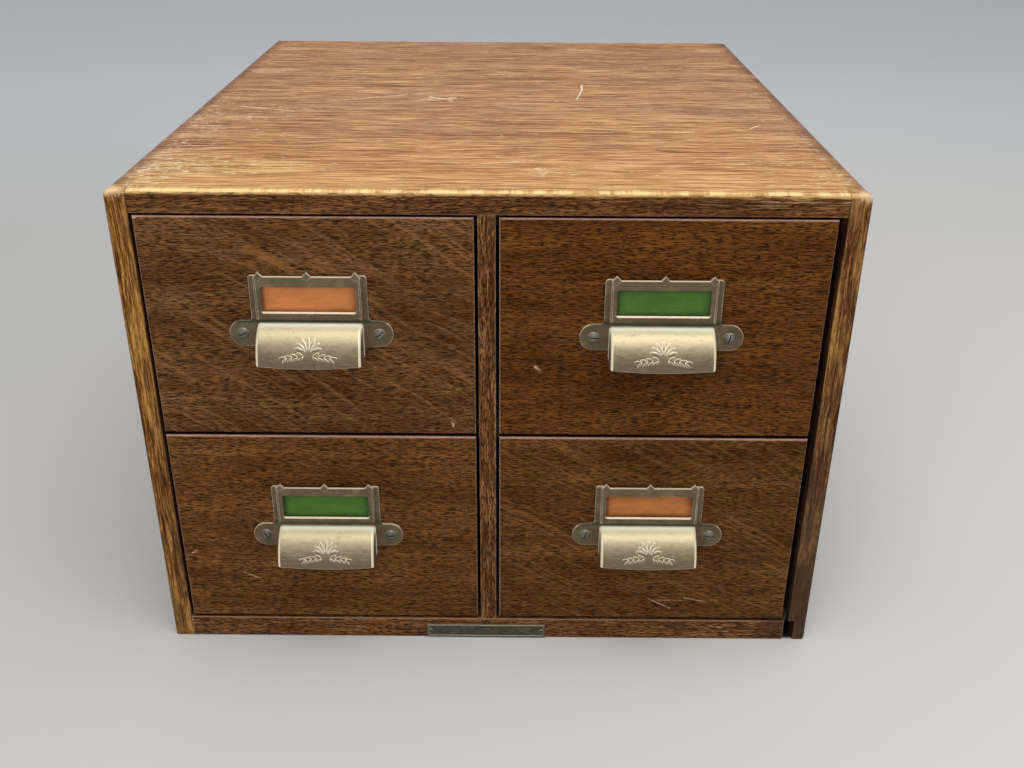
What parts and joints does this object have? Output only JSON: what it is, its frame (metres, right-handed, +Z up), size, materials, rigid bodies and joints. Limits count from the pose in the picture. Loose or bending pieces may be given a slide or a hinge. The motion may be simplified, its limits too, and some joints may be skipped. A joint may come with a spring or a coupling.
{
  "type": "index card drawer",
  "caption": "Desktop index card cabinet: finger-jointed wooden case with rows of drawers, each with a hooded metal pull, a label frame and a sliding card follower.",
  "frame": {"origin": "centre of the case's underside, on the surface that it stands on", "axes": "+Z up, +Y from the drawer fronts to the back, +X to the right as seen from the front"},
  "size_m": [0.3964, 0.4679, 0.2893],
  "materials": {
    "oak_case": "dark oak, worn satin varnish",
    "oak_fronts": "quartered oak, satin varnish",
    "pale_inner_wood": "plain planed wood",
    "old_bronze": "brown patina, rubbed bright",
    "steel": "tarnished",
    "orange_card": "matt",
    "green_card": "matt"
  },
  "bodies": {
    "case": {"top_panel": "oak_case", "left_side": "oak_case", "right_side": "oak_case", "bottom_panel": "pale_inner_wood", "bottom_rail": "oak_case", "back_panel": "pale_inner_wood", "centre_divider": "oak_case", "runner_left_left": "pale_inner_wood", "runner_left_right": "pale_inner_wood", "runner_right_left": "pale_inner_wood", "runner_right_right": "pale_inner_wood", "kicker_left_left": "pale_inner_wood", "kicker_left_right": "pale_inner_wood", "kicker_right_left": "pale_inner_wood", "kicker_right_right": "pale_inner_wood", "drawer_stops": "pale_inner_wood", "nameplate": "old_bronze", "nameplate_pins": "old_bronze", "back_brads": "steel"},
    "drawer_ul": {"ul_front": "oak_fronts", "ul_side_left": "pale_inner_wood", "ul_side_right": "pale_inner_wood", "ul_back": "pale_inner_wood", "ul_bottom": "pale_inner_wood", "ul_pull": "old_bronze", "ul_label_card": "orange_card", "ul_pull_screws": "steel"},
    "follower_ul": {"ul_follower": "pale_inner_wood", "ul_follower_stud": "old_bronze"},
    "drawer_ur": {"ur_front": "oak_fronts", "ur_side_left": "pale_inner_wood", "ur_side_right": "pale_inner_wood", "ur_back": "pale_inner_wood", "ur_bottom": "pale_inner_wood", "ur_pull": "old_bronze", "ur_label_card": "green_card", "ur_pull_screws": "steel"},
    "follower_ur": {"ur_follower": "pale_inner_wood", "ur_follower_stud": "old_bronze"},
    "drawer_ll": {"ll_front": "oak_fronts", "ll_side_left": "pale_inner_wood", "ll_side_right": "pale_inner_wood", "ll_back": "pale_inner_wood", "ll_bottom": "pale_inner_wood", "ll_pull": "old_bronze", "ll_label_card": "green_card", "ll_pull_screws": "steel"},
    "follower_ll": {"ll_follower": "pale_inner_wood", "ll_follower_stud": "old_bronze"},
    "drawer_lr": {"lr_front": "oak_fronts", "lr_side_left": "pale_inner_wood", "lr_side_right": "pale_inner_wood", "lr_back": "pale_inner_wood", "lr_bottom": "pale_inner_wood", "lr_pull": "old_bronze", "lr_label_card": "orange_card", "lr_pull_screws": "steel"},
    "follower_lr": {"lr_follower": "pale_inner_wood", "lr_follower_stud": "old_bronze"}
  },
  "joints": [
    {"name": "ul_drawer_slide", "type": "slide", "parent": "case", "child": "drawer_ul", "axis": [0, -1, 0], "range_m": [0, 0.36]},
    {"name": "ul_follower_slide", "type": "slide", "parent": "drawer_ul", "child": "follower_ul", "axis": [0, -1, 0], "range_m": [0, 0.29]},
    {"name": "ur_drawer_slide", "type": "slide", "parent": "case", "child": "drawer_ur", "axis": [0, -1, 0], "range_m": [0, 0.36]},
    {"name": "ur_follower_slide", "type": "slide", "parent": "drawer_ur", "child": "follower_ur", "axis": [0, -1, 0], "range_m": [0, 0.29]},
    {"name": "ll_drawer_slide", "type": "slide", "parent": "case", "child": "drawer_ll", "axis": [0, -1, 0], "range_m": [0, 0.36]},
    {"name": "ll_follower_slide", "type": "slide", "parent": "drawer_ll", "child": "follower_ll", "axis": [0, -1, 0], "range_m": [0, 0.29]},
    {"name": "lr_drawer_slide", "type": "slide", "parent": "case", "child": "drawer_lr", "axis": [0, -1, 0], "range_m": [0, 0.36]},
    {"name": "lr_follower_slide", "type": "slide", "parent": "drawer_lr", "child": "follower_lr", "axis": [0, -1, 0], "range_m": [0, 0.29]}
  ]
}
